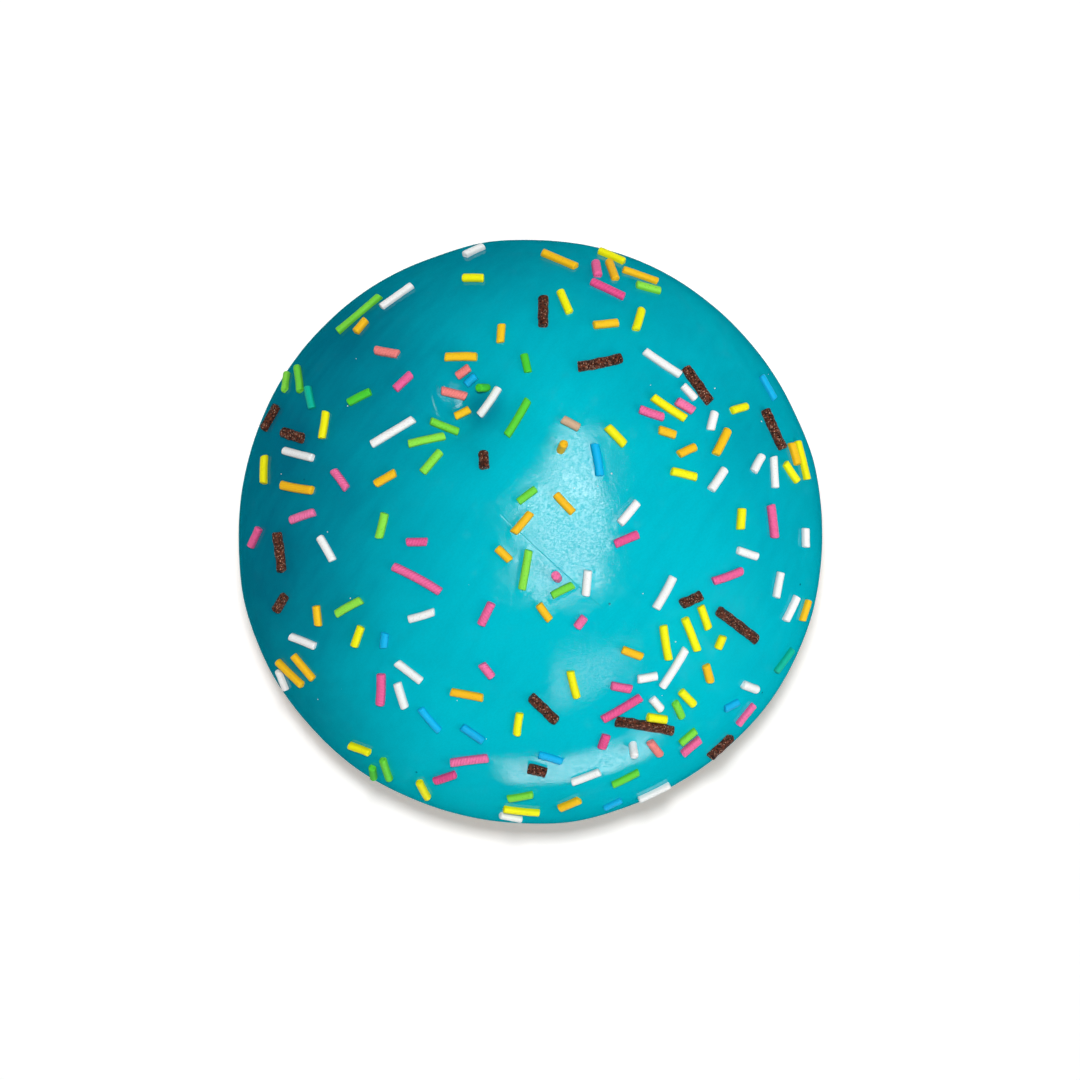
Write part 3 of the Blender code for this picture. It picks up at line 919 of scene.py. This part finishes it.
def crust_relief(point, bun):
    """Height of the crust's fine shape at a point: lumps all round, blisters below, puckers at the waist."""
    lumps = noise.noise(point / (9 * MM)) + 0.5 * noise.noise(point / (4 * MM))
    low = 1 - min(1.0, max(0.0, (point.z - 5 * MM) / (5 * MM)))
    bubble = max(0.0, noise.noise(point / (1.5 * MM)) - 0.12)
    turn = math.atan2(point.y, point.x)
    pucker = noise.noise(Vector((turn * 26, point.z / (6 * MM), 3.0)))
    waist = bump_of(point.z - 7.5 * MM, 4 * MM)
    fine = noise.noise(point / (0.9 * MM))
    return (
        bun.lumps * lumps
        + bun.blisters * bubble * low * 1.6
        + 0.16 * MM * pucker * waist
        + 0.03 * MM * fine
    )


def bun_surface(out, bun):
    turn, polar = place_of(out)
    if polar >= REST_POLAR:
        across = REST_RADIUS * (math.pi - polar) / (math.pi - REST_POLAR)
        return Vector((across * math.cos(turn), across * math.sin(turn), 0.0))
    reach = bun_reach(turn, polar)
    point = MIDDLE + out * reach
    fade = min(1.0, point.z / (3 * MM)) ** 2
    return MIDDLE + out * (reach + crust_relief(point, bun) * fade)


def strand_samples(strands):
    """A tree of points along the strands, and the strand that each belongs to."""
    samples = []
    for strand in strands:
        length = (strand.head - strand.foot).length
        steps = max(2, round(length / SAMPLE_EVERY))
        samples += [(strand.foot.lerp(strand.head, step / steps), strand) for step in range(steps + 1)]
    tree = kdtree.KDTree(len(samples))
    for index, sample in enumerate(samples):
        tree.insert(sample[0], index)
    tree.balance()
    return tree, [sample[1] for sample in samples]


def beside(point, strand):
    """Distance from a point to a strand's side."""
    run = strand.head - strand.foot
    share = max(0.0, min(1.0, (point - strand.foot).dot(run) / run.length_squared))
    return (point - strand.foot - run * share).length - strand.radius


def dent_relief(point):
    """Height of the dent's pinched rim and of its sharper bottom at a point."""
    x = point.x / MM - RIM_MIDDLE[0]
    y = point.y / MM - RIM_MIDDLE[1]
    along = RIM_RADIUS * math.remainder(math.atan2(y, x) - RIM_BEARING * DEG, math.tau)
    fade = math.exp(-((along / RIM_REACH) ** 4))
    rim = RIM_HEIGHT * fade * bump_of(RIM_RADIUS - math.hypot(x, y), RIM_WIDTH)
    bottom_x, bottom_y, radius, depth = DENT_BOTTOM
    away = math.hypot(point.x / MM - bottom_x, point.y / MM - bottom_y)
    return (rim - depth * bump_of(away, radius)) * MM


def icing_surface(out, tree, owners, icing):
    """The icing's shell: its outside from the top down, its lip, and its inside back up to the top."""
    turn, sphere = place_of(out)
    edge = edge_polar(turn)
    lip_starts = edge - LIP_POLAR
    if sphere > LIP_SPHERE:
        polar = edge * (math.pi - sphere) / (math.pi - LIP_SPHERE)
        return MIDDLE + direction(turn, polar) * (bun_reach(turn, polar) - TUCKED_IN)
    if sphere > OUTER_SPHERE:
        quarter = math.pi / 2 * (sphere - OUTER_SPHERE) / (LIP_SPHERE - OUTER_SPHERE)
        polar = lip_starts + LIP_POLAR * math.sin(quarter)
        over = (icing_depth(turn, polar) + TUCKED_IN) * math.cos(quarter) - TUCKED_IN
    else:
        polar = lip_starts * sphere / OUTER_SPHERE
        over = icing_depth(turn, polar)
    way = direction(turn, polar)
    point = MIDDLE + way * (bun_reach(turn, polar) + over)
    for size, height in WAVES:
        over += height * noise.noise(point / size) * max(0.0, over / ICING_THICK)
    if polar < lip_starts:
        over += dent_relief(point)
        _, index, away = tree.find(point)
        if away < MENISCUS_LIMIT:
            aside = max(0.0, beside(point, owners[index]))
            over += icing.meniscus * bump_of(aside, MENISCUS_REACH)
    return MIDDLE + way * (bun_reach(turn, polar) + over)


def pick(item, kind, chosen):
    """Enters edit mode with only those edges or faces selected that a test chooses."""
    bpy.ops.object.mode_set(mode="EDIT")
    bpy.ops.mesh.select_mode(type=kind)
    bpy.ops.mesh.select_all(action="DESELECT")
    bpy.ops.object.mode_set(mode="OBJECT")
    for part in item.data.edges if kind == "EDGE" else item.data.polygons:
        part.select = chosen(part)
    bpy.ops.object.mode_set(mode="EDIT")


def rod(sides, cuts):
    """A strand lying on Z, 1 in radius and from -ROD_HALF to ROD_HALF, with rounded ends."""
    bpy.ops.mesh.primitive_cylinder_add(vertices=sides, radius=1.0, depth=2 * ROD_HALF)
    made = bpy.context.active_object

    def lengthwise(edge):
        low, high = (made.data.vertices[index].co.z for index in edge.vertices)
        return low * high < 0

    pick(made, "EDGE", lambda edge: not lengthwise(edge))
    bpy.ops.mesh.bevel(offset=ROD_ROUNDING, segments=3, affect="EDGES")
    pick(made, "EDGE", lengthwise)
    bpy.ops.mesh.subdivide(number_cuts=cuts)
    pick(made, "FACE", lambda face: abs(face.normal.z) > 0.99)
    bpy.ops.mesh.inset(thickness=0.28)
    bpy.ops.mesh.poke()
    bpy.ops.object.mode_set(mode="OBJECT")
    return made


def strand_axes(strand):
    """The side, upward and lengthwise directions of a strand."""
    along = (strand.head - strand.foot).normalized()
    side = strand.normal.cross(along).normalized()
    return side, along.cross(side), along


def moved_rod(strand, bend, skew, roughness, seed, corner):
    """Where a point of the plain rod goes on a strand that is bent, cut askew and uneven."""
    side, upward, along = strand_axes(strand)
    radius = strand.radius
    half = (strand.head - strand.foot).length / 2
    inner = ROD_HALF - ROD_ROUNDING
    inner_half = max(half - ROD_ROUNDING * radius, 0.3 * half)
    beyond = abs(corner.z) - inner
    if beyond > 0:
        run = math.copysign(inner_half + (half - inner_half) * beyond / ROD_ROUNDING, corner.z)
    else:
        run = corner.z / inner * inner_half
    end = skew[corner.z > 0]
    run += radius * (corner.x * end[0] + corner.y * end[1]) * min(1.0, (abs(run) / half) ** 6)
    arch = bend * (1 - (run / half) ** 2)
    point = (
        (strand.foot + strand.head) / 2
        + along * run
        + side * (corner.x * radius + arch)
        + upward * corner.y * radius
    )
    out = side * corner.x + upward * corner.y + along * (corner.z / ROD_HALF) ** 7
    wobble = noise.noise(point / (1.1 * MM) + seed) + 0.6 * noise.noise(point / (0.40 * MM) + seed)
    return point + out * wobble * roughness


def strand_moves(strands, roughness, draw):
    """How the points of the plain rod move for each strand, with its bend and its ends drawn."""
    for strand in strands:
        length = (strand.head - strand.foot).length
        bend = draw.uniform(-1, 1) * 0.022 * length * min(1.0, length / (5 * MM))
        skew = [(draw.uniform(-0.22, 0.22), draw.uniform(-0.18, 0.18)) for _ in range(2)]
        seed = Vector((draw.uniform(-50, 50), 0.0, 0.0))
        yield partial(moved_rod, strand, bend, skew, roughness, seed)


def moved_speck(middle, size, draw, corner):
    return middle + corner * size * draw.uniform(0.7, 1.2)


def speck_moves(draw):
    """How the points of a small ball move for each speck, with its place and its size drawn."""
    for _ in range(SPECKS):
        far = SCATTER_REACH * math.sqrt(draw.random())
        turn = draw.uniform(0, math.tau)
        middle = icing_above(far * math.cos(turn), far * math.sin(turn))
        yield partial(moved_speck, middle, draw.triangular(*SPECK_SIZES) * MM, draw)


def joined_copies(name, source, moves):
    """A piece of copies of a source, each with its points moved by the next of the moves."""
    joined = bmesh.new()
    for move in moves:
        first = len(joined.verts)
        joined.from_mesh(source.data)
        joined.verts.ensure_lookup_table()
        for vert in joined.verts[first:]:
            vert.co = move(vert.co.copy())
    mesh = bpy.data.meshes.new(name)
    joined.to_mesh(mesh)
    joined.free()
    piece = bpy.data.objects.new(name, mesh)
    bpy.context.scene.collection.objects.link(piece)
    return piece


def add_run_map(mesh, strands, plain_rod):
    """Adds the UV map named run: turns round a strand, and millimetres along it."""
    for layer in list(mesh.uv_layers):
        mesh.uv_layers.remove(layer)
    run_map = mesh.uv_layers.new(name="run")
    corners = [vert.co.copy() for vert in plain_rod.data.vertices]
    for loop in mesh.loops:
        whose, which = divmod(loop.vertex_index, len(corners))
        corner = corners[which]
        length = (strands[whose].head - strands[whose].foot).length / MM
        along = corner.z / (2 * ROD_HALF) * length + RUN_STEP * whose
        run_map.data[loop.index].uv = (abs(math.atan2(corner.y, corner.x) / math.tau), along)


class OBJECT_OT_doughnut_bun(bpy.types.Operator):
    """Model the fried bun with its pale waist band and browned underside"""

    bl_idname = "object.doughnut_bun"
    bl_label = "Bun"
    bl_options = {"REGISTER", "UNDO"}

    def execute(self, context):
        settings = context.scene.doughnut.bun
        bun = even_ball("fried_bun", BUN_CELLS)
        for vert in bun.data.vertices:
            vert.co = bun_surface(vert.co.copy(), settings)
        finished(bun, crust_finish(settings), "bun")
        return {"FINISHED"}


class OBJECT_OT_doughnut_icing(bpy.types.Operator):
    """Model the icing, which climbs each strand a little and ends in a rounded, dripping lip"""

    bl_idname = "object.doughnut_icing"
    bl_label = "Icing"
    bl_options = {"REGISTER", "UNDO"}

    def execute(self, context):
        settings = context.scene.doughnut.icing
        tree, owners = strand_samples(scattered_strands())
        icing = even_ball("icing_coat", ICING_CELLS)
        for vert in icing.data.vertices:
            vert.co = icing_surface(vert.co.copy(), tree, owners, settings)
        finished(icing, icing_finish(settings), "icing")
        return {"FINISHED"}


class OBJECT_OT_doughnut_strands(bpy.types.Operator):
    """Model the sugar and chocolate strands, one piece for each kind"""

    bl_idname = "object.doughnut_strands"
    bl_label = "Sugar strands"
    bl_options = {"REGISTER", "UNDO"}

    def execute(self, context):
        settings = context.scene.doughnut.strands
        draw = random.Random(SCATTER_SEED + 1)
        strands = scattered_strands()
        plain = rod(*SUGAR_ROD)
        craggy = rod(*CHOCOLATE_ROD)
        for kind in KINDS:
            mine = [strand for strand in strands if strand.kind == kind]
            if not mine:
                raise RuntimeError("no strand is " + kind)
            dark = kind == "chocolate"
            source = craggy if dark else plain
            roughness = settings.rough_skin * (CHOCOLATE_ROUGHNESS if dark else 1.0)
            piece = joined_copies("strands_" + kind, source, strand_moves(mine, roughness, draw))
            add_run_map(piece.data, mine, source)
            tint = tuple(getattr(settings, kind))
            palest = tuple(getattr(settings, "pale_" + kind, lighter(tint, 0.12)))
            ribs = RIB_DEPTH if kind in RIBBED else 0.0
            material = chocolate_finish(tint) if dark else sugar_finish(kind, tint, palest, ribs)
            finished(piece, material, "icing")
        for source in (plain, craggy):
            bpy.data.objects.remove(source, do_unlink=True)
        return {"FINISHED"}


class OBJECT_OT_doughnut_specks(bpy.types.Operator):
    """Scatter the specks of sugar that broke off the strands"""

    bl_idname = "object.doughnut_specks"
    bl_label = "Sugar specks"
    bl_options = {"REGISTER", "UNDO"}

    def execute(self, context):
        white = tuple(context.scene.doughnut.strands.white)
        bpy.ops.mesh.primitive_ico_sphere_add(subdivisions=1, radius=1.0)
        grain = bpy.context.active_object
        specks = joined_copies("sugar_specks", grain, speck_moves(random.Random(SPECK_SEED)))
        bpy.data.objects.remove(grain, do_unlink=True)
        finished(specks, sugar_finish("specks", white), "icing")
        return {"FINISHED"}


def level_turn(way):
    """The turn of a lamp that shines along a direction, with two of its sides level with X."""
    front = way.normalized()
    upward = Vector((1.0, 0.0, 0.0)).cross(front).normalized()
    side = front.cross(upward)
    return Matrix((side, upward, -front)).transposed()


def add_area_light(name, place, sides, power, in_gloss):
    """A rectangular light aimed at the top, which shows in gloss alone or lights surfaces alone."""
    lamp = bpy.data.lights.new(name, "AREA")
    lamp.shape = "RECTANGLE"
    lamp.size, lamp.size_y = sides
    lamp.energy = power
    item = bpy.data.objects.new(name, lamp)
    bpy.context.scene.collection.objects.link(item)
    item.location = place
    item.rotation_euler = level_turn(Vector((0.0, 0.0, TALL)) - Vector(place)).to_euler()
    item.visible_glossy = in_gloss
    item.visible_diffuse = not in_gloss
    return item


def leave_out(light, item):
    """Keeps a light off one object."""
    lit = bpy.data.collections.new("lit_by_" + light.name)
    lit.objects.link(item)
    lit.collection_objects[0].light_linking.link_state = "EXCLUDE"
    light.light_linking.receiver_collection = lit


def set_sky(strength):
    """An even pale sky, which the gloss sees nearly black, so that only the windows shine in it.

    Below the horizon the gloss sees turquoise, a painted reflection that lightens the icing's rim.
    """
    world = bpy.data.worlds.new("soft_sky")
    bpy.context.scene.world = world
    world.use_nodes = True
    nodes = Nodes(world.node_tree, "Generated")
    path = nodes.node("ShaderNodeLightPath").outputs
    below = nodes.ramp(nodes.height(), *HORIZON, 1.0, 0.0, "LINEAR")
    in_gloss = nodes.blend(below, (strength * GLOSS_SHARE,) * 3, PAINTED_RIM_REFLECTION)
    lights = nodes.blend(path["Is Glossy Ray"], (strength,) * 3, in_gloss)
    background = nodes.tree.nodes["Background"].inputs
    background["Strength"].default_value = 1.0
    nodes.feed(background["Color"], nodes.blend(path["Is Camera Ray"], lights, BACKDROP))


class OBJECT_OT_doughnut_studio(bpy.types.Operator):
    """Set up the floor, the lights and the camera straight above the doughnut"""

    bl_idname = "object.doughnut_studio"
    bl_label = "Studio"
    bl_options = {"REGISTER", "UNDO"}

    def execute(self, context):
        studio = context.scene.doughnut.studio
        bpy.ops.mesh.primitive_plane_add(size=4.0)
        floor = bpy.context.active_object
        floor.name = "floor"
        floor.data.materials.append(floor_finish(tuple(studio.floor), studio.glow))
        floor.visible_glossy = False

        for name, place, sides, setting, share, in_gloss in LIGHTS:
            light = add_area_light(name, place, sides, share * getattr(studio, setting), in_gloss)
            if name == "fill":
                leave_out(light, floor)
        set_sky(studio.sky)

        camera = bpy.data.cameras.new("camera")
        camera.lens = studio.lens
        camera.sensor_width = 36.0
        camera.clip_start = 0.01
        camera.clip_end = 20.0
        item = bpy.data.objects.new("camera", camera)
        context.scene.collection.objects.link(item)
        wide = ACROSS * PHOTO_SIDE / PHOTO_ACROSS
        pixel = wide / PHOTO_SIDE
        item.location = (
            (PHOTO_SIDE / 2 - PHOTO_MIDDLE[0]) * pixel,
            (PHOTO_MIDDLE[1] - PHOTO_SIDE / 2) * pixel,
            WIDEST_AT + wide * studio.lens / camera.sensor_width,
        )
        context.scene.camera = item
        context.scene.view_settings.view_transform = "Standard"
        return {"FINISHED"}


class VIEW3D_PT_doughnut(bpy.types.Panel):
    """Settings and steps of the doughnut"""

    bl_idname = "VIEW3D_PT_doughnut"
    bl_label = "Doughnut"
    bl_space_type = "VIEW_3D"
    bl_region_type = "UI"
    bl_category = "Doughnut"

    def draw(self, context):
        settings = context.scene.doughnut
        for group in (settings.bun, settings.icing, settings.strands, settings.studio):
            box = self.layout.box()
            for name in group.bl_rna.properties.keys():
                if name not in ("rna_type", "name"):
                    box.prop(group, name)
        for step in STEPS:
            self.layout.operator(step.bl_idname)


STEPS = (
    OBJECT_OT_doughnut_bun,
    OBJECT_OT_doughnut_icing,
    OBJECT_OT_doughnut_strands,
    OBJECT_OT_doughnut_specks,
    OBJECT_OT_doughnut_studio,
)
CLASSES = (
    DoughnutBun,
    DoughnutIcing,
    DoughnutStrands,
    DoughnutStudio,
    DoughnutSettings,
    *STEPS,
    VIEW3D_PT_doughnut,
)


def register():
    for each in CLASSES:
        bpy.utils.register_class(each)
    bpy.types.Scene.doughnut = PointerProperty(type=DoughnutSettings)


def unregister():
    del bpy.types.Scene.doughnut
    for each in reversed(CLASSES):
        bpy.utils.unregister_class(each)


def main():
    register()
    bpy.ops.object.doughnut_bun()
    bpy.ops.object.doughnut_icing()
    bpy.ops.object.doughnut_strands()
    bpy.ops.object.doughnut_specks()
    bpy.ops.object.doughnut_studio()


if __name__ == "__main__":
    main()
